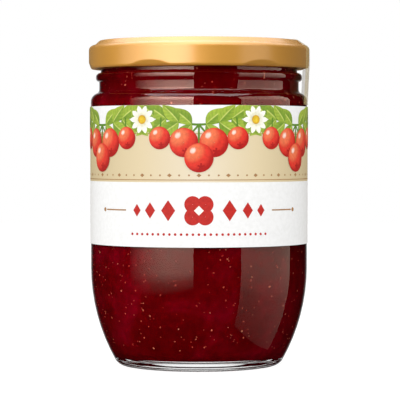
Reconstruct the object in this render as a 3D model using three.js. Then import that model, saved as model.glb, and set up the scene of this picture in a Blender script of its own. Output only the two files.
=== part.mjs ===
// A jam jar: a clear glass jar with a rounded lower body, a gold twist-off lid, dark red jam,
// a paper label wrapped round the straight wall and a clear seal strip from the lid to the shoulder.
// Millimetres. The jar stands on z = 0, its axis is Z and its front faces -Y.
import * as THREE from "three";

// Glass, outside
const BODY_RADIUS = 41.8;
const WALL_BOTTOM = 38; // where the straight wall passes into the lower curve
const LOWER_CURVE = 73; // radius of the long curve down to the heel
const HEEL_RADIUS = 4.5;
const STAND_WIDTH = 2.4; // flat ring that the jar stands on
const PUSH_UP = 1.6; // hollow under the base
const SHOULDER_RADIUS = 3.5;
const SHOULDER_TOP = 105.1;
const SHOULDER_SWEEP = 78; // degrees of the shoulder's round before the waist
const WAIST_RADIUS = 38.55;
const WAIST_BOTTOM = 106;
const BEAD_HEIGHT = 111; // middle of the bead under the lid
const BEAD_RADIUS = 39.8;
const BEAD_ROUND = 1.9;
const FINISH_RADIUS = 37.95; // neck inside the lid
const RIDGE_RADIUS = 39.3; // ridge that the lid's lugs hook under
const RIDGE_HEIGHT = 117.8;
const RIDGE_HALF_HEIGHT = 0.9;
const RIDGE_CREST = 0.4; // half height of the ridge's flat crest
const RIM_TOP = 123.3;

// Glass, inside
const WALL = 2.4;
const FLOOR = 4.2; // inner floor, at its edge
const FLOOR_CROWN = 0.8; // rise of the inner floor at the axis
const FLOOR_CORNER = 6;
const BORE_RADIUS = 35.4;
const INNER_SHOULDER_BOTTOM = 99.6;
const INNER_SHOULDER_ROUND = 3;

// Jam
const JAM_GAP = 0.3;
const JAM_LEVEL = 119.6;
const JAM_EDGE_RISE = 0.4; // the jam climbs a little at the glass
const JAM_EDGE_WIDTH = 1.2;

// Lid
const LID_RADIUS = 42.5;
const LID_BOTTOM = 114.2;
const LID_TOP = 125.1;
const SHEET = 0.5;
const CURL_RADIUS = 1.2; // rolled lower edge
const LID_CORNER = 2;
const CREASE_RADIUS = 40.3; // foot of the raised rim
const CREASE_HEIGHT = 123.35;
const LID_RIM_OUTER = 38.4;
const LID_RIM_INNER = 36.6;
const LID_RIM_EDGE = 0.35; // eased edge of the raised rim
const PANEL_RADIUS = 34.6;
const PANEL_HEIGHT = 124.2;
const BUTTON_RADIUS = 12;
const BUTTON_SLOPE = 3;
const BUTTON_DROP = 0.5; // the vacuum holds the middle of the panel down
const LUG_COUNT = 6;
const FIRST_LUG = -26; // degrees from the front, towards +X
const LUG_HALF_ANGLE = 11;
const LUG_TOP = 116.9; // top of the arch that each lug presses into the skirt
const LUG_FOOT = 114.5;
const LUG_SLOPE = 1.3;
const LUG_DEPTH = 1.1;
const SKIRT_ROWS = [116.3, 116.9, 117.5];

// Label
const LABEL_BOTTOM = 47.2;
const LABEL_TOP = 99.7;
const LABEL_THICKNESS = 0.14;
const LABEL_GAP = 0.06;

// Seal strip, on the +X side
const STRIP_WIDTH = 26;
const STRIP_THICKNESS = 0.16;
const STRIP_GAP = 0.12;
const STRIP_ON_LID = 36.9; // radius where the strip ends on top of the lid
const STRIP_BOTTOM = 100.4;
const STRIP_BEND = 70; // degrees that the strip turns over the lid's corner
const STRIP_STEPS = 8;

// Fineness of the facets
const SEGMENTS = 48;
const LID_SEGMENTS = 72;
const ARC_SAG = 0.08; // most that a facet may cut inside its arc

const MATERIALS = {
  glass: { color: 0xe9f0ea, roughness: 0.03, metalness: 0, transparent: true, opacity: 0.3 },
  jam: { color: 0x5a0208, roughness: 0.2, metalness: 0 },
  lid: { color: 0xd9a24a, roughness: 0.28, metalness: 1 },
  label: { color: 0xf6f3ec, roughness: 0.55, metalness: 0 },
  strip: { color: 0xe6dcc0, roughness: 0.15, metalness: 0, transparent: true, opacity: 0.5 },
};

const point = (radius, height) => new THREE.Vector2(radius, height);
const degrees = (radians) => THREE.MathUtils.radToDeg(radians);

// Points on a circular arc of a profile, from one angle to another.
function arc(centre, radius, fromDegrees, toDegrees) {
  const facet = degrees(2 * Math.acos(1 - ARC_SAG / radius));
  const steps = Math.ceil(Math.abs(toDegrees - fromDegrees) / facet);
  const points = [];
  for (let step = 0; step <= steps; step += 1) {
    const angle = THREE.MathUtils.degToRad(THREE.MathUtils.lerp(fromDegrees, toDegrees, step / steps));
    points.push(point(centre.x + radius * Math.cos(angle), centre.y + radius * Math.sin(angle)));
  }
  return points;
}

// The round that joins the lower curve to a level floor: its middle and the angle where they touch.
function cornerRound(curveRadius, cornerRadius, floor) {
  const reach = curveRadius - cornerRadius;
  const angle = Math.asin((WALL_BOTTOM - floor - cornerRadius) / reach);
  const middle = point(BODY_RADIUS - LOWER_CURVE + reach * Math.cos(angle), floor + cornerRadius);
  return { middle, angle: degrees(angle) };
}

// Turns a profile round the Z axis. The profile keeps the solid on its left.
function turned(profile, segments = SEGMENTS) {
  return new THREE.LatheGeometry(profile, segments).rotateX(Math.PI / 2);
}

function mesh(name, geometry, material) {
  const result = new THREE.Mesh(geometry, new THREE.MeshStandardMaterial(MATERIALS[material]));
  result.name = name;
  return result;
}

const LOWER_CENTRE = point(BODY_RADIUS - LOWER_CURVE, WALL_BOTTOM);

// Outside of the glass, from the middle of the base up to the rim.
function glassOutside() {
  const heel = cornerRound(LOWER_CURVE, HEEL_RADIUS, 0);
  const shoulder = point(BODY_RADIUS - SHOULDER_RADIUS, SHOULDER_TOP - SHOULDER_RADIUS);
  const bead = point(BEAD_RADIUS - BEAD_ROUND, BEAD_HEIGHT);
  const beadFoot = degrees(Math.acos((WAIST_RADIUS - bead.x) / BEAD_ROUND));
  const rimRound = (FINISH_RADIUS - BORE_RADIUS) / 2;
  return [
    point(0, PUSH_UP),
    point(heel.middle.x - STAND_WIDTH, 0),
    ...arc(heel.middle, HEEL_RADIUS, -90, -heel.angle),
    ...arc(LOWER_CENTRE, LOWER_CURVE, -heel.angle, 0).slice(1),
    ...arc(shoulder, SHOULDER_RADIUS, 0, SHOULDER_SWEEP),
    point(WAIST_RADIUS, WAIST_BOTTOM),
    ...arc(bead, BEAD_ROUND, -beadFoot, 90),
    point(FINISH_RADIUS, RIDGE_HEIGHT - RIDGE_HALF_HEIGHT),
    point(RIDGE_RADIUS, RIDGE_HEIGHT - RIDGE_CREST),
    point(RIDGE_RADIUS, RIDGE_HEIGHT + RIDGE_CREST),
    point(FINISH_RADIUS, RIDGE_HEIGHT + RIDGE_HALF_HEIGHT),
    ...arc(point(FINISH_RADIUS - rimRound, RIM_TOP - rimRound), rimRound, 0, 180).slice(0, -1),
  ];
}

// Inside of the glass from the middle of the floor up to a height, drawn in by a gap.
function glassInside(gap, top) {
  const innerCurve = LOWER_CURVE - WALL;
  const corner = cornerRound(innerCurve, FLOOR_CORNER, FLOOR);
  const round = INNER_SHOULDER_ROUND;
  const step = BODY_RADIUS - WALL - BORE_RADIUS;
  const sweep = Math.acos(1 - step / (2 * round));
  const lower = point(BODY_RADIUS - WALL - round, INNER_SHOULDER_BOTTOM);
  const upper = point(BORE_RADIUS + round, INNER_SHOULDER_BOTTOM + 2 * round * Math.sin(sweep));
  return [
    point(0, FLOOR + FLOOR_CROWN + gap),
    ...arc(corner.middle, FLOOR_CORNER - gap, -90, -corner.angle),
    ...arc(LOWER_CENTRE, innerCurve - gap, -corner.angle, 0).slice(1),
    ...arc(lower, round - gap, 0, degrees(sweep)),
    ...arc(upper, round + gap, 180 + degrees(sweep), 180).slice(1),
    point(BORE_RADIUS - gap, top),
  ];
}

function glassJar() {
  const rimRound = (FINISH_RADIUS - BORE_RADIUS) / 2;
  const inside = glassInside(0, RIM_TOP - rimRound).reverse();
  return mesh("glass_jar", turned([...glassOutside(), ...inside]), "glass");
}

function jam() {
  const side = glassInside(JAM_GAP, JAM_LEVEL + JAM_EDGE_RISE);
  const edge = point(BORE_RADIUS - JAM_GAP - JAM_EDGE_WIDTH, JAM_LEVEL);
  return mesh("jam", turned([...side, edge, point(0, JAM_LEVEL)]), "jam");
}

// Top of the lid from the raised rim to the axis; the underside is the same line, a sheet lower.
function lidTop(drop) {
  return [
    point(CREASE_RADIUS, CREASE_HEIGHT - drop),
    point(LID_RIM_OUTER + LID_RIM_EDGE, LID_TOP - LID_RIM_EDGE - drop),
    point(LID_RIM_OUTER - LID_RIM_EDGE, LID_TOP - drop),
    point(LID_RIM_INNER, LID_TOP - drop),
    point(PANEL_RADIUS, PANEL_HEIGHT - drop),
    point(BUTTON_RADIUS, PANEL_HEIGHT - drop),
    point(BUTTON_RADIUS - BUTTON_SLOPE, PANEL_HEIGHT - BUTTON_DROP - drop),
    point(0, PANEL_HEIGHT - BUTTON_DROP - drop),
  ];
}

function lidProfile() {
  const corner = point(LID_RADIUS - LID_CORNER, CREASE_HEIGHT - LID_CORNER);
  const curl = point(LID_RADIUS - CURL_RADIUS, LID_BOTTOM + CURL_RADIUS);
  const inner = LID_RADIUS - SHEET;
  const curlTop = degrees(Math.acos((inner - curl.x) / CURL_RADIUS));
  return [
    ...lidTop(SHEET).reverse(),
    ...arc(corner, LID_CORNER - SHEET, 90, 0),
    ...SKIRT_ROWS.toReversed().map((height) => point(inner, height)),
    ...arc(curl, CURL_RADIUS, curlTop, 360),
    ...SKIRT_ROWS.map((height) => point(LID_RADIUS, height)),
    ...arc(corner, LID_CORNER, 0, 90),
    ...lidTop(0),
  ];
}

// Presses the lugs into the lower edge of the lid: an arch-shaped dent at each.
function pressLugs(geometry) {
  const position = geometry.getAttribute("position");
  const vertex = new THREE.Vector3();
  const pitch = 360 / LUG_COUNT;
  for (let index = 0; index < position.count; index += 1) {
    vertex.fromBufferAttribute(position, index);
    const radius = Math.hypot(vertex.x, vertex.y);
    const angle = degrees(Math.atan2(vertex.x, -vertex.y)) - FIRST_LUG;
    const across = (angle - pitch * Math.round(angle / pitch)) / LUG_HALF_ANGLE;
    if (Math.abs(across) >= 1 || vertex.z > LUG_TOP || radius < LID_RADIUS / 2) continue;
    const arch = LUG_FOOT + (LUG_TOP - LUG_FOOT) * Math.sqrt(1 - across * across);
    const depth = LUG_DEPTH * (1 - THREE.MathUtils.smoothstep(vertex.z, arch - LUG_SLOPE, arch));
    const pulled = (radius - depth) / radius;
    position.setXYZ(index, vertex.x * pulled, vertex.y * pulled, vertex.z);
  }
  return geometry;
}

function lid() {
  return mesh("lid", pressLugs(turned(lidProfile(), LID_SEGMENTS)), "lid");
}

function label() {
  const inner = BODY_RADIUS + LABEL_GAP;
  const outer = inner + LABEL_THICKNESS;
  const profile = [
    point(inner, LABEL_BOTTOM),
    point(outer, LABEL_BOTTOM),
    point(outer, LABEL_TOP),
    point(inner, LABEL_TOP),
    point(inner, LABEL_BOTTOM),
  ];
  return mesh("label", turned(profile), "label");
}

// The strip's run over the lid and down to the shoulder, held off the surfaces by a distance.
function stripLine(off) {
  const corner = point(LID_RADIUS - LID_CORNER, CREASE_HEIGHT - LID_CORNER);
  return [
    point(STRIP_ON_LID, LID_TOP + off),
    point(LID_RIM_OUTER, LID_TOP + off),
    ...arc(corner, LID_CORNER + off, STRIP_BEND, 0),
    point(LID_RADIUS + off, LID_BOTTOM + CURL_RADIUS),
    point(BODY_RADIUS + off, SHOULDER_TOP - SHOULDER_RADIUS),
    point(BODY_RADIUS + off, STRIP_BOTTOM),
  ];
}

// The strip's section is extruded by its width, then bent round the jar's axis.
function sealStrip() {
  const outline = [...stripLine(STRIP_GAP), ...stripLine(STRIP_GAP + STRIP_THICKNESS).reverse()];
  const geometry = new THREE.ExtrudeGeometry(new THREE.Shape(outline), {
    depth: STRIP_WIDTH,
    steps: STRIP_STEPS,
    bevelEnabled: false,
  });
  const position = geometry.getAttribute("position");
  for (let index = 0; index < position.count; index += 1) {
    const radius = position.getX(index);
    const angle = (STRIP_WIDTH / 2 - position.getZ(index)) / LID_RADIUS;
    position.setXYZ(index, radius * Math.cos(angle), radius * Math.sin(angle), position.getY(index));
  }
  return mesh("seal_strip", geometry, "strip");
}

const jar = new THREE.Group();
jar.name = "jam_jar";
jar.add(glassJar(), jam(), lid(), label(), sealStrip());

export default jar;
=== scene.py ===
import math
import random

import bpy
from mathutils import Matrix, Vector


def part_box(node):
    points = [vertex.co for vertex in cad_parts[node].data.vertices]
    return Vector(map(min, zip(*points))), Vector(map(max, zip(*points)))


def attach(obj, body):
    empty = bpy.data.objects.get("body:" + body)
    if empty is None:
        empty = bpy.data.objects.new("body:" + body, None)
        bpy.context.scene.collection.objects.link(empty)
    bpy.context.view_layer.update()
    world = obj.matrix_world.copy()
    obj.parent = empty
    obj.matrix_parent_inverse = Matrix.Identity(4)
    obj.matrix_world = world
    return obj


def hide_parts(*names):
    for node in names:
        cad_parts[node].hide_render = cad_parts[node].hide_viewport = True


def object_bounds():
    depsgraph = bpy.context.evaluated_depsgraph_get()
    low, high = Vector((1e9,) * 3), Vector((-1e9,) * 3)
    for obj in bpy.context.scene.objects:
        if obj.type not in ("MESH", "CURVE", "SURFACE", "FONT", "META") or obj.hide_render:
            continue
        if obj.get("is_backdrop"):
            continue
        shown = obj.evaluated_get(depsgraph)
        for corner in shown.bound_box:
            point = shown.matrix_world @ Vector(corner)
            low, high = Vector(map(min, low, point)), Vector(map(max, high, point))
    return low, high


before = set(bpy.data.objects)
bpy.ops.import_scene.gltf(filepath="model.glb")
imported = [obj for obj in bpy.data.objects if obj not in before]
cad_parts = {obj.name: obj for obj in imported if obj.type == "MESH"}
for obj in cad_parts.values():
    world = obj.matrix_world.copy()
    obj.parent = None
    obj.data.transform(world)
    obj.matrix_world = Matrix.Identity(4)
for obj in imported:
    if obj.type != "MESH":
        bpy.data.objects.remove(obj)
cad_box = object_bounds()

# A jam jar: clear glass, dark red jam with seeds, a gold twist-off lid, a wrapped paper label
# and a clear seal strip. Metres, +Z up, the front faces -Y.

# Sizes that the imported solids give
glass_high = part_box("glass_jar")[1]
jam_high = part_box("jam")[1]
lid_low, lid_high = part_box("lid")
label_low, label_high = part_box("label")
strip_low, strip_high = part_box("seal_strip")
BODY_RADIUS = glass_high.x
RIM_TOP = glass_high.z
JAM_TOP = jam_high.z
LID_RADIUS = lid_high.x
LID_BOTTOM = lid_low.z
LID_TOP = lid_high.z
LABEL_RADIUS = label_high.x
LABEL_BOTTOM = label_low.z
LABEL_TOP = label_high.z
STRIP_BOTTOM = strip_low.z
STRIP_WIDTH = strip_high.y - strip_low.y

# Glass, outside
WALL_BOTTOM = 0.038
LOWER_CURVE = 0.073
HEEL_RADIUS = 0.0045
STAND_WIDTH = 0.0024
PUSH_UP = 0.0016
SHOULDER_BOTTOM = 0.1016
SHOULDER_RADIUS = 0.0035
SHOULDER_SLOPE = math.radians(24)
WAIST_RADIUS = 0.03855
WAIST_ROUND = 0.0016
BEAD_RADIUS = 0.0398
BEAD_HEIGHT = 0.111
BEAD_HALF = 0.0013
BEAD_SPREAD = 0.0018
BEAD_ROUND = 0.0014
FINISH_RADIUS = 0.03795
RIDGE_RADIUS = 0.0393
RIDGE_HEIGHT = 0.1178
RIDGE_HALF = 0.0009
RIDGE_CREST = 0.0004
SMALL_ROUND = 0.0003

# Glass, inside
WALL = 0.0024
FLOOR = 0.0042
FLOOR_CROWN = 0.0008
FLOOR_CORNER = 0.006
BORE_RADIUS = 0.0354
INNER_SHOULDER_BOTTOM = 0.0996
INNER_SHOULDER_ROUND = 0.003

# Jam
JAM_REACH = 0.00015  # how far the jam goes into the wall
JAM_EDGE_RISE = 0.0004
JAM_EDGE_WIDTH = 0.0012
SEED_LENGTH = 0.0009
SEEDS_PER_AREA = 64000  # per square metre
JAM_IOR = 0.78  # jam against glass: flat glances at the floor are mirrored
MIRROR_RADIUS = 0.026  # the floor mirrors up to a height that falls from the axis to this radius
MIRROR_MIDDLE = 0.0054
MIRROR_EDGE = 0.0046
SEED_DEPTH = 0.3  # power that sinks the seeds, the smaller the deeper
SEED_MARGIN = 0.003  # seeds run this far behind the label
SEEDS_FROM = 0.0085  # height of the lowest seeds

# Lid
SHEET = 0.0005
CURL_RADIUS = 0.0012
LID_CORNER = 0.002
CREASE_RADIUS = 0.0403
CREASE_HEIGHT = 0.12335
LID_RIM_OUTER = 0.0384
LID_RIM_INNER = 0.0366
PANEL_RADIUS = 0.0346
PANEL_HEIGHT = 0.1242
BUTTON_RADIUS = 0.012
BUTTON_SLOPE = 0.003
BUTTON_DROP = 0.0005
CREASE_ROUND = 0.0004
RIM_ROUND = 0.0006
PANEL_ROUND = 0.0008
BUTTON_ROUND = 0.004
LUG_COUNT = 6
FIRST_LUG = math.radians(-26)
LUG_HALF_ANGLE = math.radians(11)
LUG_TOP = 0.1169
LUG_FOOT = 0.1145
LUG_SLOPE = 0.0024
LUG_DEPTH = 0.0011
SKIRT_STEP = 0.0002
SKIRT_ROWS_TOP = 0.1174

# Label
LABEL_THICKNESS = 0.00014
LABEL_OVERLAP = 0.006
LABEL_RAMP = 0.004
BAND_BOTTOM = 0.0712
BAND_TOP = 0.09

# Seal strip, on the +X side
STRIP_THICKNESS = 0.00016
STRIP_GAP = 0.00012
STRIP_ON_LID = 0.0369
STRIP_BEND = 70

# Fineness of the meshes
SEGMENTS = 256
ARC_STEP = math.radians(4)
ON_AXIS = 1e-6

# Camera and studio
CAMERA_DISTANCE = 0.832
CAMERA_HEIGHT = 0.0848
CAMERA_SIDE = 0.0004
AIM_HEIGHT = 0.0637
VIEW_WIDTH = 0.1549
SENSOR = 36.0
FLOOR_HALF = 1.5
WARM = (1.0, 0.74, 0.6)  # tint of the panels that the glass mirrors
BOUNCES = 32
WORLD_LEFT = 0.96  # soft light from the left and from the right
WORLD_RIGHT = 0.46
WORLD_GLOSS = 0.22  # what the satin surfaces mirror
GOLDEN = (1, 0.78, 0.45, 1)
WHITE = (1, 1, 1, 1)
BEHIND_FROM = 0.88  # clear mirrors see white straight behind the jar and fade away from there
BEHIND_LEAST = 0.4
BEHIND_POWER = 6.0
FLOOR_SEEN = 0.9  # glow of the floor as seen and as it lights the jar
FLOOR_LIGHT = 0.45


# Mesh helpers

def steps(count):
    """Even steps from 0 to 1."""
    return [step / count for step in range(count + 1)]


def smoothstep(value, low, high):
    share = min(max((value - low) / (high - low), 0), 1)
    return share * share * (3 - 2 * share)


def mix(first, second, share):
    return tuple(a + (b - a) * share for a, b in zip(first, second))


def arc(centre, radius, start, end):
    """Points on an arc of a profile, between two angles in degrees."""
    sweep = math.radians(end - start)
    count = max(2, math.ceil(abs(sweep) / ARC_STEP))
    angles = [math.radians(start) + sweep * share for share in steps(count)]
    return [(centre[0] + radius * math.cos(a), centre[1] + radius * math.sin(a)) for a in angles]


def eased(corners):
    """A line through corners of (radius, height, round), each rounded by an arc of its own."""
    line = []
    for index, (radius, height, bend) in enumerate(corners):
        if not bend:
            line.append((radius, height))
            continue
        here = Vector((radius, height))
        back = (Vector(corners[index - 1][:2]) - here).normalized()
        ahead = (Vector(corners[index + 1][:2]) - here).normalized()
        half = back.angle(ahead) / 2
        centre = here + (back + ahead).normalized() * (bend / math.sin(half))
        first = here + back * (bend / math.tan(half)) - centre
        last = here + ahead * (bend / math.tan(half)) - centre
        start = math.degrees(math.atan2(first.y, first.x))
        turn = math.degrees(math.atan2(first.cross(last), first.dot(last)))
        line += arc(centre, bend, start, start + turn)
    return line


def add_piece(name, vertices, faces, sharp=40):
    mesh = bpy.data.meshes.new(name)
    mesh.from_pydata(vertices, [], faces)
    mesh.shade_smooth()
    mesh.set_sharp_from_angle(angle=math.radians(sharp))
    piece = bpy.data.objects.new(name, mesh)
    bpy.context.scene.collection.objects.link(piece)
    return piece


def turned(name, profile, segments=SEGMENTS):
    """Turns a profile whose ends lie on the axis round Z; it keeps the solid on its left."""
    vertices = []
    rings = []
    for radius, height in profile:
        count = segments if radius > ON_AXIS else 1
        first = len(vertices)
        for step in range(count):
            angle = math.tau * step / segments
            vertices.append((radius * math.cos(angle), radius * math.sin(angle), height))
        rings.append([first + step % count for step in range(segments + 1)])
    faces = []
    for low, high in zip(rings, rings[1:]):
        for step in range(segments):
            corners = (low[step], low[step + 1], high[step + 1], high[step])
            faces.append(tuple(dict.fromkeys(corners)))
    return add_piece(name, vertices, faces)


def paint(piece, colours):
    """Gives each vertex of a piece its own linear colour, in the attribute named tint."""
    layer = piece.data.color_attributes.new("tint", "FLOAT_COLOR", "POINT")
    layer.data.foreach_set("color", [part for colour in colours for part in (*colour, 1.0)])


def dress(piece, finish, slot, *replaced):
    """Sets a piece's material, lets it ride and hides the nodes that it stands for; the slot is not used.
    """
    piece.data.materials.append(finish)
    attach(piece, "root")
    if replaced:
        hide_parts(*replaced)


# Material helpers

def srgb(red, green, blue):
    """Linear colour of an eight-bit display colour."""
    def linear(part):
        share = part / 255
        return share / 12.92 if share <= 0.04045 else ((share + 0.055) / 1.055) ** 2.4
    return (linear(red), linear(green), linear(blue))


def material(name, sockets):
    """A material with one Principled shader, its sockets set by name."""
    made = bpy.data.materials.new(name)
    made.use_nodes = True
    shader = made.node_tree.nodes["Principled BSDF"]
    for socket, value in sockets.items():
        shader.inputs[socket].default_value = (*value, 1.0) if isinstance(value, tuple) else value
    return made, made.node_tree, shader


def add_node(tree, kind, inputs=None, **settings):
    """A shader node with its settings, and its inputs either set or linked."""
    made = tree.nodes.new("ShaderNode" + kind)
    for key, value in settings.items():
        setattr(made, key, value)
    for key, value in (inputs or {}).items():
        if isinstance(value, bpy.types.NodeSocket):
            tree.links.new(value, made.inputs[key])
        else:
            made.inputs[key].default_value = value
    return made


def noise(tree, scale, detail=2.0, distortion=0.0):
    place = add_node(tree, "TexCoord")
    inputs = {"Vector": place.outputs["Object"], "Scale": scale, "Detail": detail}
    return add_node(tree, "TexNoise", {**inputs, "Distortion": distortion}).outputs["Fac"]


def ramp(tree, factor, stops):
    """A colour ramp from (place, colour) stops."""
    made = add_node(tree, "ValToRGB", {"Fac": factor})
    elements = made.color_ramp.elements
    while len(elements) > len(stops):
        elements.remove(elements[-1])
    while len(elements) < len(stops):
        elements.new(0.5)
    for element, (place, colour) in zip(elements, stops):
        element.position = place
        element.color = (*colour, 1.0)
    return made.outputs["Color"]


def math_node(tree, operation, first, second):
    return add_node(tree, "Math", {0: first, 1: second}, operation=operation).outputs[0]


def blend_colours(tree, factor, first, second, blend_type="MIX"):
    made = add_node(tree, "Mix", data_type="RGBA", blend_type=blend_type)
    for index, value in ((0, factor), (6, first), (7, second)):
        if isinstance(value, bpy.types.NodeSocket):
            tree.links.new(value, made.inputs[index])
        else:
            made.inputs[index].default_value = (*value, 1.0) if isinstance(value, tuple) else value
    return made.outputs[2]


def bump(tree, shader, height, strength, distance):
    made = add_node(tree, "Bump", {"Height": height, "Strength": strength, "Distance": distance})
    tree.links.new(made.outputs["Normal"], shader.inputs["Normal"])


def open_to_lamps(tree, shader):
    """Lets the light of lamps pass through a clear shader."""
    path = add_node(tree, "LightPath")
    clear = add_node(tree, "BsdfTransparent")
    mixed = add_node(tree, "MixShader", {0: path.outputs["Is Shadow Ray"]})
    tree.links.new(shader.outputs[0], mixed.inputs[1])
    tree.links.new(clear.outputs[0], mixed.inputs[2])
    tree.links.new(mixed.outputs[0], tree.nodes["Material Output"].inputs["Surface"])


# Glass

def corner_round(curve, corner, floor):
    """The round that joins the lower curve to a level floor: its middle and its end's angle."""
    reach = curve - corner
    angle = math.asin((WALL_BOTTOM - floor - corner) / reach)
    return (BODY_RADIUS - LOWER_CURVE + reach * math.cos(angle), floor + corner), math.degrees(angle)


def dome(radius, edge, rise):
    """A shallow dome from the axis out to a radius."""
    return [(radius * share, edge + rise * (1 - share * share)) for share in steps(8)]


LOWER_CENTRE = (BODY_RADIUS - LOWER_CURVE, WALL_BOTTOM)


def glass_outside():
    heel, angle = corner_round(LOWER_CURVE, HEEL_RADIUS, 0)
    shoulder = SHOULDER_BOTTOM + SHOULDER_RADIUS * math.tan((math.pi / 2 - SHOULDER_SLOPE) / 2)
    waist = shoulder + (BODY_RADIUS - WAIST_RADIUS) * math.tan(SHOULDER_SLOPE)
    rim_round = 0.47 * (FINISH_RADIUS - BORE_RADIUS)
    neck = eased([
        (BODY_RADIUS, WALL_BOTTOM, 0),
        (BODY_RADIUS, shoulder, SHOULDER_RADIUS),
        (WAIST_RADIUS, waist, WAIST_ROUND),
        (WAIST_RADIUS, BEAD_HEIGHT - BEAD_SPREAD, SMALL_ROUND),
        (BEAD_RADIUS, BEAD_HEIGHT - BEAD_HALF, BEAD_ROUND),
        (BEAD_RADIUS, BEAD_HEIGHT + BEAD_HALF, BEAD_ROUND),
        (FINISH_RADIUS, BEAD_HEIGHT + BEAD_SPREAD, SMALL_ROUND),
        (FINISH_RADIUS, RIDGE_HEIGHT - RIDGE_HALF, SMALL_ROUND),
        (RIDGE_RADIUS, RIDGE_HEIGHT - RIDGE_CREST, SMALL_ROUND),
        (RIDGE_RADIUS, RIDGE_HEIGHT + RIDGE_CREST, SMALL_ROUND),
        (FINISH_RADIUS, RIDGE_HEIGHT + RIDGE_HALF, SMALL_ROUND),
        (FINISH_RADIUS, RIM_TOP, rim_round),
        (BORE_RADIUS, RIM_TOP, rim_round),
        (BORE_RADIUS, RIDGE_HEIGHT, 0),
    ])
    return [
        *dome(heel[0] - STAND_WIDTH, 0, PUSH_UP),
        *arc(heel, HEEL_RADIUS, -90, -angle),
        *arc(LOWER_CENTRE, LOWER_CURVE, -angle, 0)[1:],
        *neck[1:],
    ]


def glass_inside(gap):
    """Inside of the glass from the middle of the floor to the bore, drawn in by a gap."""
    curve = LOWER_CURVE - WALL
    corner, angle = corner_round(curve, FLOOR_CORNER, FLOOR)
    step = BODY_RADIUS - WALL - BORE_RADIUS
    sweep = math.acos(1 - step / (2 * INNER_SHOULDER_ROUND))
    turn = math.degrees(sweep)
    lower = (BODY_RADIUS - WALL - INNER_SHOULDER_ROUND, INNER_SHOULDER_BOTTOM)
    rise = 2 * INNER_SHOULDER_ROUND * math.sin(sweep)
    upper = (BORE_RADIUS + INNER_SHOULDER_ROUND, INNER_SHOULDER_BOTTOM + rise)
    return [
        *dome(corner[0], FLOOR + gap, FLOOR_CROWN)[:-1],
        *arc(corner, FLOOR_CORNER - gap, -90, -angle),
        *arc(LOWER_CENTRE, curve - gap, -angle, 0)[1:],
        *arc(lower, INNER_SHOULDER_ROUND - gap, 0, turn),
        *arc(upper, INNER_SHOULDER_ROUND + gap, 180 + turn, 180)[1:],
    ]


def glass_finish():
    made, tree, shader = material("clear_glass", {
        "Base Color": (0.985, 0.995, 0.99),
        "Roughness": 0.0,
        "IOR": 1.51,
        "Transmission Weight": 1.0,
    })
    bump(tree, shader, noise(tree, 60, 1.0), 0.12, 0.00006)
    open_to_lamps(tree, shader)
    return made


def make_glass():
    jar = turned("jar_glass", [*glass_outside(), *reversed(glass_inside(0))])
    dress(jar, glass_finish(), "glass", "glass_jar")
    return jar


# Jam and its seeds

def jam_floor(tree):
    """One on the jam's crowned floor and nought on its sides."""
    place = add_node(tree, "TexCoord").outputs["Object"]
    height = add_node(tree, "SeparateXYZ", {0: place}).outputs["Z"]
    flat = add_node(tree, "VectorMath", {0: place, 1: (1, 1, 0)}, operation="MULTIPLY").outputs[0]
    radius = add_node(tree, "VectorMath", {0: flat}, operation="LENGTH").outputs["Value"]
    span = {"Value": radius, "From Min": 0.0, "From Max": MIRROR_RADIUS}
    limit = add_node(tree, "MapRange", {**span, "To Min": MIRROR_MIDDLE, "To Max": MIRROR_EDGE}).outputs[0]
    return math_node(tree, "LESS_THAN", height, limit)


def jam_finish():
    made, tree, shader = material("red_jam", {"Roughness": 0.6, "Specular IOR Level": 0.0})
    clouds = ramp(tree, noise(tree, 55, 3.0, 0.8), [
        (0.30, (0.060, 0.0001, 0.0005)),
        (0.52, (0.082, 0.0002, 0.0014)),
        (0.72, (0.125, 0.0004, 0.0050)),
    ])
    pulp = ramp(tree, noise(tree, 420, 4.0, 0.3), [(0.3, (0.7, 0.7, 0.7)), (0.7, (1.0, 1.0, 1.0))])
    colour = blend_colours(tree, 1.0, clouds, pulp, "MULTIPLY")
    tree.links.new(colour, shader.inputs["Base Color"])
    fresnel = add_node(tree, "Fresnel", {"IOR": JAM_IOR}).outputs[0]
    glance = {"Value": fresnel, "From Min": 0.03, "From Max": 0.2}
    flat_glance = add_node(tree, "MapRange", glance).outputs[0]
    flat_glance = math_node(tree, "MULTIPLY", flat_glance, jam_floor(tree))
    mirror = add_node(tree, "BsdfGlossy", {"Color": WHITE, "Roughness": 0.0})
    mixed = add_node(tree, "MixShader", {0: flat_glance, 1: shader.outputs[0], 2: mirror.outputs[0]})
    tree.links.new(mixed.outputs[0], tree.nodes["Material Output"].inputs["Surface"])
    return made


def make_jam():
    level = JAM_TOP - JAM_EDGE_RISE
    side = glass_inside(-JAM_REACH)
    surface = eased([
        (BORE_RADIUS + JAM_REACH, JAM_TOP, 0),
        (BORE_RADIUS - JAM_EDGE_WIDTH, level, JAM_EDGE_WIDTH),
        (0, level, 0),
    ])
    jam = turned("jam_fill", [*side, *surface])
    dress(jam, jam_finish(), "jam", "jam")
    return jam


def seed_shape(sides=6):
    """A teardrop one unit long on X and its faces, sharp at one end."""
    ribs = ((0.2, 0.2), (0.52, 0.36), (0.84, 0.27))
    points = [(-0.5, 0.0, 0.0)]
    for along, radius in ribs:
        for side in range(sides):
            angle = math.tau * side / sides
            points.append((along - 0.5, radius * math.cos(angle), 0.75 * radius * math.sin(angle)))
    points.append((0.5, 0.0, 0.0))
    faces = []
    for side in range(sides):
        here = 1 + side
        beside = 1 + (side + 1) % sides
        faces.append((0, beside, here))
        for rib in range(len(ribs) - 1):
            low = rib * sides
            faces.append((here + low, beside + low, beside + low + sides, here + low + sides))
        top = (len(ribs) - 1) * sides
        faces.append((here + top, beside + top, len(points) - 1))
    return points, faces


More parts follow.
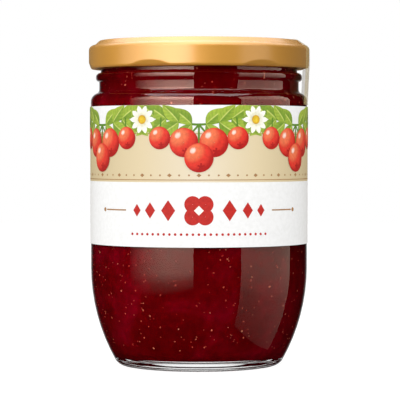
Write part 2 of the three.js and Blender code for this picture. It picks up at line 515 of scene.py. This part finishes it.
def seed_places(draw):
    """Random places on the jam where it can be seen: a point and the way out of the jam there."""
    line = [*glass_inside(-JAM_REACH), (BORE_RADIUS + JAM_REACH, LID_BOTTOM)]
    places = []
    for low, high in zip(line, line[1:]):
        run = Vector((high[0] - low[0], high[1] - low[1]))
        area = math.pi * (low[0] + high[0]) * run.length
        expected = area * SEEDS_PER_AREA
        count = int(expected) + (draw.random() < expected % 1)
        for _ in range(count):
            share = draw.random()
            angle = draw.uniform(0, math.tau)
            radius, height = mix(low, high, share)
            hidden = LABEL_BOTTOM + SEED_MARGIN < height < LABEL_TOP - SEED_MARGIN
            if hidden or height < SEEDS_FROM:
                continue
            out = Vector((run.y * math.cos(angle), run.y * math.sin(angle), -run.x)).normalized()
            places.append((Vector((radius * math.cos(angle), radius * math.sin(angle), height)), out))
    return places


def make_seeds():
    draw = random.Random(11)
    pale = srgb(255, 188, 146)
    salmon = srgb(206, 84, 62)
    sunk = srgb(110, 6, 12)
    points, shape_faces = seed_shape()
    vertices = []
    faces = []
    colours = []
    for place, out in seed_places(draw):
        size = SEED_LENGTH * draw.uniform(0.4, 1.1)
        along = out.orthogonal().normalized()
        across = out.cross(along)
        turn = draw.uniform(0, math.tau)
        long_way = along * math.cos(turn) + across * math.sin(turn)
        wide_way = out.cross(long_way)
        depth = draw.random() ** SEED_DEPTH
        colour = mix(mix(pale, salmon, draw.random() ** 0.5), sunk, depth)
        first = len(vertices)
        for x, y, z in points:
            vertices.append(place + (long_way * x + wide_way * y + out * z) * size)
            colours.append(colour)
        faces += [tuple(first + corner for corner in face) for face in shape_faces]
    seeds = add_piece("jam_seeds", vertices, faces)
    paint(seeds, colours)
    dress(seeds, painted_finish("seed_skin", 0.55, 0.0), "jam")


def painted_finish(name, roughness, specular):
    """A finish that takes its colour from the tint of the vertices, a little uneven."""
    made, tree, shader = material(name, {"Roughness": roughness, "Specular IOR Level": specular})
    tint = add_node(tree, "Attribute", attribute_name="tint").outputs["Color"]
    uneven = ramp(tree, noise(tree, 900, 3.0), [(0.3, (0.86, 0.86, 0.86)), (0.7, (1.08, 1.08, 1.08))])
    tree.links.new(blend_colours(tree, 1.0, tint, uneven, "MULTIPLY"), shader.inputs["Base Color"])
    return made


# Lid

def lid_top(drop):
    """Top of the lid from the crease to the axis, or its underside, lower by a drop."""
    return [
        (CREASE_RADIUS, CREASE_HEIGHT - drop, CREASE_ROUND),
        (LID_RIM_OUTER, LID_TOP - drop, RIM_ROUND),
        (LID_RIM_INNER, LID_TOP - drop, RIM_ROUND),
        (PANEL_RADIUS, PANEL_HEIGHT - drop, PANEL_ROUND),
        (BUTTON_RADIUS, PANEL_HEIGHT - drop, BUTTON_ROUND),
        (BUTTON_RADIUS - BUTTON_SLOPE, PANEL_HEIGHT - BUTTON_DROP - drop, BUTTON_ROUND),
        (0, PANEL_HEIGHT - BUTTON_DROP - drop, 0),
    ]


def lid_profile():
    curl = (LID_RADIUS - CURL_RADIUS, LID_BOTTOM + CURL_RADIUS)
    inner = LID_RADIUS - SHEET
    curl_top = math.degrees(math.acos((inner - curl[0]) / CURL_RADIUS))
    rows = round((SKIRT_ROWS_TOP - curl[1]) / SKIRT_STEP)
    heights = [curl[1] + (SKIRT_ROWS_TOP - curl[1]) * share for share in steps(rows)]
    under = eased([
        (inner, SKIRT_ROWS_TOP, 0),
        (inner, CREASE_HEIGHT - SHEET, LID_CORNER - SHEET),
        *lid_top(SHEET),
    ])
    over = eased([
        (LID_RADIUS, SKIRT_ROWS_TOP, 0),
        (LID_RADIUS, CREASE_HEIGHT, LID_CORNER),
        *lid_top(0),
    ])
    curl_line = arc(curl, CURL_RADIUS, curl_top, 360)
    inner_rows = [(inner, height) for height in reversed(heights[2:-1]) if height > curl_line[0][1]]
    return [
        *reversed(under),
        *inner_rows,
        *curl_line,
        *[(LID_RADIUS, height) for height in heights[1:-1]],
        *over,
    ]


def press_lugs(lid):
    """Presses an arch-shaped dent into the lid's lower edge at each lug."""
    pitch = math.tau / LUG_COUNT
    for vertex in lid.data.vertices:
        x, y, z = vertex.co
        radius = math.hypot(x, y)
        angle = math.atan2(x, -y) - FIRST_LUG
        across = (angle - pitch * round(angle / pitch)) / LUG_HALF_ANGLE
        if abs(across) >= 1 or z > LUG_TOP or radius < LID_RADIUS / 2:
            continue
        arch = LUG_FOOT + (LUG_TOP - LUG_FOOT) * math.sqrt(1 - across * across)
        depth = LUG_DEPTH * (1 - smoothstep(z, arch - LUG_SLOPE, arch))
        pulled = (radius - depth) / radius
        vertex.co = (x * pulled, y * pulled, z)


def lid_finish():
    made, tree, shader = material("gold_lacquer", {
        "Metallic": 0.45,
        "Roughness": 0.45,
        "Coat Weight": 1.0,
        "Coat Roughness": 0.24,
        "Coat IOR": 2.0,
    })
    colour = ramp(tree, noise(tree, 30, 4.0), [
        (0.3, srgb(222, 155, 44)),
        (0.7, srgb(228, 162, 50)),
    ])
    tree.links.new(colour, shader.inputs["Base Color"])
    bump(tree, shader, noise(tree, 1800, 2.0), 0.1, 0.00002)
    return made


def make_lid():
    lid = turned("lid_gold", lid_profile(), 360)
    press_lugs(lid)
    dress(lid, lid_finish(), "lid", "lid")
    return lid


# Label

def label_rise(angle):
    """How far the outer sheet stands off at the seam at the back, where it laps over its start."""
    beyond = math.remainder(angle - math.pi, math.tau) * LABEL_RADIUS
    if 0 <= beyond <= LABEL_OVERLAP:
        return LABEL_THICKNESS
    return LABEL_THICKNESS * smoothstep(beyond, -LABEL_RAMP, 0) if beyond < 0 else 0.0


def on_label(along, height, lift=0.0):
    """A place on the label: along its girth from the middle of the front, towards +X, and up."""
    angle = along / LABEL_RADIUS
    radius = LABEL_RADIUS + label_rise(angle) + lift
    return (radius * math.sin(angle), -radius * math.cos(angle), height)


def paper_finish():
    made, tree, shader = material("label_paper", {"Roughness": 0.45, "Specular IOR Level": 0.3})
    place = add_node(tree, "TexCoord").outputs["Object"]
    parts = add_node(tree, "SeparateXYZ", {0: place})
    height = parts.outputs["Z"]
    edge = 0.0001
    above = {"Value": height, "From Min": BAND_BOTTOM, "From Max": BAND_BOTTOM + edge}
    below = {"Value": height, "From Min": BAND_TOP, "From Max": BAND_TOP - edge}
    band = math_node(
        tree, "MULTIPLY",
        add_node(tree, "MapRange", above).outputs[0],
        add_node(tree, "MapRange", below).outputs[0],
    )
    # The beige band darkens with |X|, towards the jar's sides as seen from the front: the beige is print,
    # the darkening to the sides is painted shade
    side = math_node(tree, "ABSOLUTE", parts.outputs["X"], 0.0)
    side = math_node(tree, "DIVIDE", side, LABEL_RADIUS)
    band_beige_and_side_shade = ramp(tree, side, [
        (0.0, srgb(231, 218, 193)),
        (0.5, srgb(224, 206, 168)),
        (0.95, srgb(208, 189, 148)),
    ])
    fibres = ramp(tree, noise(tree, 700, 5.0), [(0.3, (0.86, 0.86, 0.85)), (0.7, (0.92, 0.92, 0.915))])
    colour = blend_colours(tree, band, fibres, band_beige_and_side_shade)
    tree.links.new(colour, shader.inputs["Base Color"])
    bump(tree, shader, noise(tree, 2500, 3.0), 0.15, 0.00002)
    return made


def make_paper():
    columns = 480
    start = math.pi
    total = math.tau + LABEL_OVERLAP / LABEL_RADIUS
    vertices = []
    for share in steps(columns):
        angle = start + total * share
        turned_by = total * share
        ramp_start = math.tau - LABEL_RAMP / LABEL_RADIUS
        rise = LABEL_THICKNESS * smoothstep(turned_by, ramp_start, math.tau)
        outer = LABEL_RADIUS + rise
        inner = outer - LABEL_THICKNESS
        for radius, height in (
            (inner, LABEL_BOTTOM), (outer, LABEL_BOTTOM), (outer, LABEL_TOP), (inner, LABEL_TOP),
        ):
            vertices.append((radius * math.sin(angle), -radius * math.cos(angle), height))
    faces = [(0, 1, 2, 3), tuple(columns * 4 + corner for corner in (3, 2, 1, 0))]
    for column in range(columns):
        here = column * 4
        for corner in range(4):
            after = (corner + 1) % 4
            faces.append((here + corner, here + 4 + corner, here + 4 + after, here + after))
    dress(add_piece("label_paper", vertices, faces), paper_finish(), "label", "label")


class Print:
    """Flat printed shapes gathered into one mesh that lies on the label."""

    def __init__(self):
        self.vertices = []
        self.faces = []
        self.colours = []

    def sheet(self, place, shade, rows, columns, lift):
        """A grid of points: place(s, t) gives where on the label, shade(s, t) the colour."""
        first = len(self.vertices)
        for s in steps(rows):
            for t in steps(columns):
                self.vertices.append(on_label(*place(s, t), lift))
                self.colours.append(shade(s, t))
        width = columns + 1
        for row in range(rows):
            for column in range(columns):
                corner = first + row * width + column
                self.faces.append((corner, corner + width, corner + width + 1, corner + 1))

    def disc(self, centre, radius, shade, rings, sides, lift):
        """A round field, shaded by the share of the radius and the angle."""
        def place(s, t):
            angle = -math.tau * t
            reach = radius * max(s, 0.02)
            return (centre[0] + reach * math.cos(angle), centre[1] + reach * math.sin(angle))
        self.sheet(place, lambda s, t: shade(s, -math.tau * t), rings, sides, lift)

    def ribbon(self, line, width, colour, count, lift):
        """A stroke along line(s), which gives a place for s from 0 to 1."""
        def place(s, t):
            near = line(max(s - 0.01, 0))
            far = line(min(s + 0.01, 1))
            run = Vector((far[0] - near[0], far[1] - near[1])).normalized()
            here = line(s)
            off = width * (0.5 - t)
            return (here[0] - run.y * off, here[1] + run.x * off)
        self.sheet(place, lambda s, t: colour, count, 1, lift)

    def diamond(self, centre, half_width, half_height, colour, lift):
        def place(s, t):
            return (centre[0] + (s - t) * half_width, centre[1] + (1 - s - t) * half_height)
        self.sheet(place, lambda s, t: colour, 8, 8, lift)

    def lay(self, name):
        made = add_piece(name, self.vertices, self.faces)
        paint(made, self.colours)
        dress(made, painted_finish(name + "_ink", 0.4, 0.3), "label")


LEAF_DEEP = srgb(96, 140, 44)
LEAF_MID = srgb(146, 176, 62)
LEAF_LIGHT = srgb(196, 210, 74)
LEAF_RIB = srgb(214, 222, 120)
BERRY_DARK = srgb(178, 24, 22)
BERRY_RED = srgb(226, 54, 40)
BERRY_WARM = srgb(240, 120, 78)
BERRY_SHINE = srgb(255, 222, 206)
PETAL = srgb(255, 253, 240)
PETAL_SHADE = srgb(226, 224, 190)
POLLEN = srgb(236, 200, 52)
POLLEN_DARK = srgb(206, 150, 30)
PRINT_RED = srgb(196, 44, 38)
BROWN = srgb(172, 128, 84)

GIRTH = math.tau * LABEL_RADIUS
SWAGS = 6
SWAG = GIRTH / SWAGS
VINE_LOW = 0.0925
VINE_HIGH = 0.0962
LIFT = 0.00003
LEAF_PAIRS = 4
LEAF_LENGTH = 0.0105
LEAF_WIDTH = 0.0052
LARGE_BERRY = 0.0054
SMALL_BERRY = 0.0042
DAISY = 0.0052
VINE_WIDTH = 0.0008
STEM_WIDTH = 0.0006
CLUSTER_STEM_WIDTH = 0.0007
SIDE_BERRY_OFF = 0.0142
SIDE_BERRY_LEAN = 0.0006
SIDE_BERRY_DROP = 0.0076
CLUSTER = ((-0.0056, 0.0066), (0.0056, 0.0066), (0.0, 0.0122))  # each large berry's offset and drop
DAISY_DROP = 0.0018

ORNAMENT_HEIGHT = 0.0608
LOBE = 0.0031
EYE = 0.0018
DIAMONDS = 3
DIAMOND_WIDE = 0.0027
DIAMOND_HIGH = 0.0039
DIAMOND_OFF = 0.0115
DIAMOND_PITCH = 0.0072
DIAMOND_SHRINK = 0.78
RULE_START = 0.0295
RULE_END = 0.0405
RULE_WIDTH = 0.0005
KNOB_OFF = 0.0418
KNOB = 0.0008
ROW_DOTS = 25
ROW_PITCH = 0.0022
ROW_DROP = 0.0088
ROW_DOT = 0.0005

EDGE_LINE_IN = 0.0009
EDGE_LINE_WIDTH = 0.00028
BAND_MARKS = 72
BAND_MARK_RISE = 0.0026
BAND_DOT = 0.00036
BAND_DIAMOND = (0.0009, 0.0007)


def vine_height(along):
    wave = math.cos(math.tau * along / SWAG)
    return VINE_LOW + (VINE_HIGH - VINE_LOW) * (1 - wave) / 2


def print_leaf(ink, root, angle, length, width, bend, lift):
    """A smooth pointed leaf with a midrib and side veins."""
    def place(s, t):
        x = length * s
        y = width * math.sin(math.pi * s ** 0.8) * (0.5 - t) + bend * length * s * s
        turn_x = x * math.cos(angle) - y * math.sin(angle)
        turn_y = x * math.sin(angle) + y * math.cos(angle)
        return (root[0] + turn_x, min(root[1] + turn_y, LABEL_TOP - LIFT))

    def shade(s, t):
        across = abs(2 * t - 1)
        if across < 0.1:
            return LEAF_RIB
        vein = math.cos(math.tau * (6 * s - 1.3 * across))
        body = mix(LEAF_DEEP if t > 0.5 else LEAF_MID, LEAF_LIGHT, 0.15 + 0.6 * across * s)
        return mix(body, LEAF_DEEP, 0.45 * smoothstep(vein, 0.5, 1))

    ink.sheet(place, shade, 40, 14, lift)


def print_berry(ink, centre, radius, lift):
    """A round berry, lit from the upper left, with a small star at its foot."""
    light = Vector((-0.42, 0.5, 0.76)).normalized()

    def shade(s, angle):
        facing = Vector((s * math.cos(angle), s * math.sin(angle), math.sqrt(max(1 - s * s, 0))))
        lit = facing.dot(light)
        colour = mix(BERRY_DARK, BERRY_RED, smoothstep(lit, -0.1, 0.5))
        colour = mix(colour, BERRY_WARM, smoothstep(lit, 0.55, 0.95))
        return mix(colour, BERRY_SHINE, smoothstep(lit, 0.965, 0.99))

    ink.disc(centre, radius, shade, 14, 40, lift)
    foot = (centre[0] + 0.15 * radius, centre[1] - 0.62 * radius)
    for ray in range(5):
        angle = math.tau * ray / 5 + 0.3
        tip = (foot[0] + 0.26 * radius * math.cos(angle), foot[1] + 0.26 * radius * math.sin(angle))
        ink.ribbon(lambda s, tip=tip: mix(foot, tip, s), 0.12 * radius, BERRY_DARK, 2, lift + LIFT)


def print_daisy(ink, centre, radius, lift):
    """A daisy of narrow cream petals round a yellow middle."""
    petals = 10
    for petal in range(petals):
        angle = math.tau * petal / petals

        def place(s, t, angle=angle):
            x = radius * (0.25 + 0.75 * s)
            y = radius * 0.3 * math.sin(math.pi * (0.12 + 0.88 * s) ** 1.3) * (0.5 - t)
            y += radius * 0.1 * (0.5 - t)
            return (
                centre[0] + x * math.cos(angle) - y * math.sin(angle),
                centre[1] + x * math.sin(angle) + y * math.cos(angle),
            )

        ink.sheet(place, lambda s, t: mix(PETAL_SHADE, PETAL, smoothstep(s, 0, 0.6)), 8, 4, lift)
    ink.disc(centre, 0.32 * radius, lambda s, a: mix(POLLEN, POLLEN_DARK, s ** 3), 4, 20, lift + LIFT)


def print_swag(greens, fruits, blossoms, middle):
    """One repeat of the garland: vine, leaves, berries and a daisy at its end."""
    half = SWAG / 2
    greens.ribbon(
        lambda s: (middle - half + SWAG * s, vine_height(SWAG * s - half)), VINE_WIDTH, LEAF_DEEP, 60, LIFT,
    )
    for side in (-1, 1):
        for index in range(LEAF_PAIRS):
            along = SWAG * (0.06 + 0.11 * index)
            root = (middle + side * along, vine_height(along))
            facing = 0 if side > 0 else math.pi
            for up in (-1, 1):
                angle = facing + side * up * math.radians(38 + 7 * ((index + up) % 3))
                length = LEAF_LENGTH - 0.0008 * ((index + (up > 0)) % 3)
                lift = LIFT * (2 + index % 2)
                print_leaf(greens, root, angle, length, LEAF_WIDTH, -0.12 * side * up, lift)
        stem = (middle + side * SIDE_BERRY_OFF, vine_height(SIDE_BERRY_OFF))
        hung = (stem[0] + side * SIDE_BERRY_LEAN, stem[1] - SIDE_BERRY_DROP)
        greens.ribbon(lambda s: mix(stem, hung, s), STEM_WIDTH, LEAF_DEEP, 8, LIFT * 4)
        print_berry(fruits, hung, SMALL_BERRY, LIFT * 5)
    top = (middle, vine_height(0))
    for off, drop in CLUSTER:
        centre = (middle + off, top[1] - drop)
        greens.ribbon(lambda s, end=centre: mix(top, end, s), CLUSTER_STEM_WIDTH, LEAF_DEEP, 8, LIFT * 4)
        print_berry(fruits, centre, LARGE_BERRY, LIFT * (5 if off else 7))
    print_daisy(blossoms, (middle + half, VINE_HIGH - DAISY_DROP), DAISY, LIFT * 5)


def print_ornament(ink, middle, height):
    """A centred row of red shapes: four round lobes, diamonds and fine lines, over a row of dots."""
    for quarter in range(4):
        angle = math.pi / 4 + quarter * math.pi / 2
        reach = LOBE * 1.05
        centre = (middle + reach * math.cos(angle), height + reach * math.sin(angle))
        ink.disc(centre, LOBE, lambda s, a: PRINT_RED, 4, 28, LIFT * (1 + 0.1 * quarter))
    ink.diamond((middle, height), EYE, EYE, PETAL, LIFT * 2)
    for side in (-1, 1):
        off = DIAMOND_OFF
        size = 1.0
        for _ in range(DIAMONDS):
            centre = (middle + side * off, height)
            ink.diamond(centre, DIAMOND_WIDE * size, DIAMOND_HIGH * size, PRINT_RED, LIFT)
            off += DIAMOND_PITCH * size
            size *= DIAMOND_SHRINK
        ends = ((middle + side * RULE_START, height), (middle + side * RULE_END, height))
        ink.ribbon(lambda s: mix(*ends, s), RULE_WIDTH, BROWN, 24, LIFT)
        ink.disc((middle + side * KNOB_OFF, height), KNOB, lambda s, a: BROWN, 2, 16, LIFT)
    for dot in range(ROW_DOTS):
        along = middle + (dot - (ROW_DOTS - 1) / 2) * ROW_PITCH
        ink.disc((along, height - ROW_DROP), ROW_DOT, lambda s, a: PRINT_RED, 1, 12, LIFT)


def print_band(ink):
    """Thin lines along the band's edges and a row of dots between small diamonds."""
    for height in (BAND_BOTTOM + EDGE_LINE_IN, BAND_TOP - EDGE_LINE_IN):
        ink.ribbon(lambda s: (GIRTH * (s - 0.5), height), EDGE_LINE_WIDTH, BROWN, 360, LIFT * 0.6)
    for mark in range(BAND_MARKS):
        along = GIRTH * (mark / BAND_MARKS - 0.5)
        centre = (along, BAND_BOTTOM + BAND_MARK_RISE)
        if mark % 3:
            ink.disc(centre, BAND_DOT, lambda s, a: BROWN, 1, 12, LIFT)
        else:
            ink.diamond(centre, *BAND_DIAMOND, BROWN, LIFT)


def make_print():
    lines = Print()
    greens = Print()
    fruits = Print()
    blossoms = Print()
    print_band(lines)
    for middle in (0.0, GIRTH / 2):
        print_ornament(lines, middle, ORNAMENT_HEIGHT)
    for repeat in range(SWAGS):
        print_swag(greens, fruits, blossoms, SWAG * (repeat - SWAGS // 2))
    lines.lay("print_lines")
    greens.lay("print_leaves")
    fruits.lay("print_berries")
    blossoms.lay("print_daisies")


# Seal strip

def strip_line(off):
    """The strip's run over the lid and down to the shoulder, held off the surfaces."""
    corner = (LID_RADIUS - LID_CORNER, CREASE_HEIGHT - LID_CORNER)
    return [
        (STRIP_ON_LID, LID_TOP + off),
        (LID_RIM_OUTER, LID_TOP + off),
        *arc(corner, LID_CORNER + off, STRIP_BEND, 0),
        (LID_RADIUS + off, LID_BOTTOM + CURL_RADIUS),
        *[mix((LID_RADIUS + off, LID_BOTTOM + CURL_RADIUS), (BODY_RADIUS + off, SHOULDER_BOTTOM), share)
          for share in steps(16)[1:]],
        (BODY_RADIUS + off, STRIP_BOTTOM),
    ]


def film_finish():
    made, tree, shader = material("clear_film", {"Roughness": 0.16, "Alpha": 0.28, "IOR": 1.48})
    colour = ramp(tree, noise(tree, 160, 3.0), [(0.3, (0.76, 0.62, 0.28)), (0.7, (0.82, 0.67, 0.32))])
    tree.links.new(colour, shader.inputs["Base Color"])
    bump(tree, shader, noise(tree, 220, 2.0), 0.3, 0.0001)
    return made


def make_strip():
    columns = 40
    outline = [*strip_line(STRIP_GAP), *reversed(strip_line(STRIP_GAP + STRIP_THICKNESS))]
    vertices = []
    for share in steps(columns):
        angle = STRIP_WIDTH * (share - 0.5) / LID_RADIUS
        for radius, height in outline:
            vertices.append((radius * math.cos(angle), radius * math.sin(angle), height))
    count = len(outline)
    faces = []
    for column in range(columns):
        for corner in range(count):
            after = (corner + 1) % count
            here = column * count
            faces.append((here + corner, here + after, here + count + after, here + count + corner))
    half = count // 2
    for column in (0, columns):
        base = column * count
        for corner in range(half - 1):
            facing = base + count - 1 - corner
            across = (base + corner, facing, facing - 1, base + corner + 1)
            faces.append(across if column == 0 else tuple(reversed(across)))
    dress(add_piece("seal_film", vertices, faces), film_finish(), "seal_film", "seal_strip")


# Studio

def make_floor():
    corners = [(x * FLOOR_HALF, y * FLOOR_HALF, 0) for x, y in ((-1, -1), (1, -1), (1, 1), (-1, 1))]
    floor = add_piece("studio_floor", corners, [(0, 1, 2, 3)])
    made, tree, shader = material("pale_floor", {
        "Base Color": (0.25, 0.25, 0.25),
        "Roughness": 0.9,
        "Specular IOR Level": 0.0,
        "Emission Color": (1.0, 1.0, 1.0),
    })
    bounces = add_node(tree, "LightPath").outputs["Diffuse Depth"]
    levels = {"Value": bounces, "To Min": FLOOR_SEEN, "To Max": FLOOR_LIGHT}
    glow = add_node(tree, "MapRange", levels).outputs[0]
    tree.links.new(glow, shader.inputs["Emission Strength"])
    floor.data.materials.append(made)
    floor.visible_glossy = False
    floor.visible_diffuse = False
    floor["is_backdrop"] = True


def panel(name, azimuth, distance, width, low, high, radiance):
    """An upright light panel that faces the jar's axis, from a low to a high edge."""
    height = high - low
    light = bpy.data.lights.new(name, "AREA")
    light.shape = "RECTANGLE"
    light.size = width
    light.size_y = height
    light.energy = 4 * radiance * width * height
    lamp = bpy.data.objects.new(name, light)
    bpy.context.scene.collection.objects.link(lamp)
    turn = math.radians(azimuth)
    lamp.location = (distance * math.sin(turn), -distance * math.cos(turn), (low + high) / 2)
    lamp.rotation_euler = (math.pi / 2, 0, turn)
    return lamp


def linked(lamp, pieces, state):
    """Lets a lamp light some pieces only, or all but those pieces."""
    group = bpy.data.collections.new(lamp.name + "_lit")
    for piece in pieces:
        group.objects.link(piece)
    lamp.light_linking.receiver_collection = group
    for entry in group.collection_objects:
        entry.light_linking.link_state = state


def graded(lamp, stops, fade):
    """Dims a panel by (place, level) stops from its low to its high edge and from side to side."""
    lamp.data.use_nodes = True
    tree = lamp.data.node_tree
    place = add_node(tree, "NewGeometry").outputs["Parametric"]
    parts = add_node(tree, "SeparateXYZ", {0: place}).outputs
    upward = ramp(tree, parts["Y"], [(share, (level, level, level)) for share, level in stops])
    sideways = ramp(tree, parts["X"], [(share, (level, level, level)) for share, level in fade])
    levels = blend_colours(tree, 1.0, upward, sideways, "MULTIPLY")
    tree.links.new(levels, tree.nodes["Emission"].inputs["Color"])


def make_lights(glass, jam, lid):
    """Panels that the glass and the lid mirror, one piece each, then the lamps that light the rest."""
    left = panel("glass_left", azimuth=-41, distance=0.9, width=1.28, low=-0.95, high=0.85, radiance=9.5)
    left.data.color = WARM
    graded(left, [
        (0.40, 0.0), (0.46, 0.05), (0.53, 0.26), (0.60, 0.40), (0.73, 1.0),
    ], [
        (0.00, 0.03), (0.17, 0.25), (0.44, 0.75), (0.58, 1.0),
    ])
    right = panel("glass_right", azimuth=77, distance=0.8, width=1.04, low=-0.61, high=0.75, radiance=4.4)
    right.data.color = WARM
    graded(right, [
        (0.00, 0.04), (0.30, 0.11), (0.45, 0.24), (0.53, 0.32), (0.70, 0.66),
    ], [
        (0.0, 0.9), (1.0, 1.0),
    ])
    line = panel("glass_top", azimuth=-10, distance=0.25, width=1.6, low=0.75, high=1.65, radiance=3.0)
    line.rotation_euler = (math.radians(15), 0, math.radians(-10))
    shine = panel("lid_shine", azimuth=-48, distance=0.9, width=1.6, low=-0.3, high=0.9, radiance=1.75)
    graded(shine, [(0.0, 1.0)], [(0.00, 0.12), (0.35, 0.45), (0.65, 1.0)])
    side = panel("lid_side", azimuth=60, distance=0.9, width=0.55, low=-0.2, high=0.8, radiance=0.45)
    top = panel("lid_top", azimuth=0, distance=0.0, width=3.0, low=-0.2, high=2.6, radiance=2.2)
    graded(top, [(0.0, 1.0)], [(0.20, 0.35), (0.42, 1.0), (0.74, 0.42)])
    top.rotation_euler = (0, 0, 0)
    for lamp, piece in (
        (left, glass), (right, glass), (line, glass), (shine, lid), (side, lid), (top, lid),
    ):
        lamp.visible_diffuse = False
        linked(lamp, [piece], "INCLUDE")
    key = panel("key_left", azimuth=-22, distance=0.9, width=1.15, low=0.0, high=0.8, radiance=1.35)
    fill = panel("fill_right", azimuth=70, distance=0.8, width=0.5, low=0.1, high=0.6, radiance=2.8)
    for lamp, pieces in ((key, [glass]), (fill, [glass, jam, lid])):
        lamp.visible_glossy = False
        linked(lamp, pieces, "EXCLUDE")
    glow = panel("jam_glow", azimuth=-20, distance=0.9, width=0.4, low=0.0, high=0.5, radiance=9.0)
    glow.visible_glossy = False
    linked(glow, [jam], "INCLUDE")


def make_world():
    """White where it is seen, softer as a light, golden for satin mirrors and dim for clear ones."""
    world = bpy.data.worlds.new("studio")
    bpy.context.scene.world = world
    world.use_nodes = True
    tree = world.node_tree
    tree.nodes.clear()
    path = add_node(tree, "LightPath").outputs
    mirror = math_node(tree, "MULTIPLY", path["Is Singular Ray"], path["Is Reflection Ray"])
    seen = math_node(tree, "MAXIMUM", path["Is Camera Ray"], path["Is Transmission Ray"])
    seen = math_node(tree, "GREATER_THAN", seen, path["Diffuse Depth"])
    way = add_node(tree, "SeparateXYZ", {0: add_node(tree, "TexCoord").outputs["Generated"]}).outputs
    sideways = {"Value": way["X"], "From Min": -1.0, "To Min": WORLD_LEFT, "To Max": WORLD_RIGHT}
    sideways = add_node(tree, "MapRange", sideways).outputs[0]
    soft = add_node(tree, "Background", {"Color": WHITE, "Strength": sideways})
    gloss = add_node(tree, "Background", {"Color": GOLDEN, "Strength": WORLD_GLOSS})
    white = add_node(tree, "Background", {"Color": WHITE, "Strength": 1.0})
    behind = {"Value": way["Y"], "From Min": BEHIND_FROM, "To Min": BEHIND_LEAST}
    behind = math_node(tree, "POWER", add_node(tree, "MapRange", behind).outputs[0], BEHIND_POWER)
    dim = add_node(tree, "Background", {"Color": WHITE, "Strength": behind})
    lit = add_node(tree, "MixShader", {0: path["Is Glossy Ray"], 1: soft.outputs[0], 2: gloss.outputs[0]})
    shown = add_node(tree, "MixShader", {0: seen, 1: lit.outputs[0], 2: white.outputs[0]})
    mixed = add_node(tree, "MixShader", {0: mirror, 1: shown.outputs[0], 2: dim.outputs[0]})
    output = add_node(tree, "OutputWorld")
    tree.links.new(mixed.outputs[0], output.inputs["Surface"])


def make_camera():
    camera = bpy.data.cameras.new("camera")
    camera.sensor_width = SENSOR
    drop = CAMERA_HEIGHT - AIM_HEIGHT
    camera.lens = SENSOR * math.hypot(CAMERA_DISTANCE, drop) / VIEW_WIDTH
    holder = bpy.data.objects.new("camera", camera)
    bpy.context.scene.collection.objects.link(holder)
    holder.location = (CAMERA_SIDE, -CAMERA_DISTANCE, CAMERA_HEIGHT)
    holder.rotation_euler = (math.pi / 2 - math.atan2(drop, CAMERA_DISTANCE), 0, 0)
    bpy.context.scene.camera = holder


glass = make_glass()
jam = make_jam()
make_seeds()
lid = make_lid()
make_paper()
make_print()
make_strip()
make_floor()
make_lights(glass, jam, lid)
make_world()
make_camera()
bpy.context.scene.view_settings.view_transform = "Standard"
bpy.context.scene.cycles.use_denoising = True
bpy.context.scene.cycles.max_bounces = BOUNCES
bpy.context.scene.cycles.glossy_bounces = BOUNCES
bpy.context.scene.cycles.transmission_bounces = BOUNCES

boxes = {"cad": cad_box, "visual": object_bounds()}
{name: [list(corner) for corner in box] for name, box in boxes.items()}
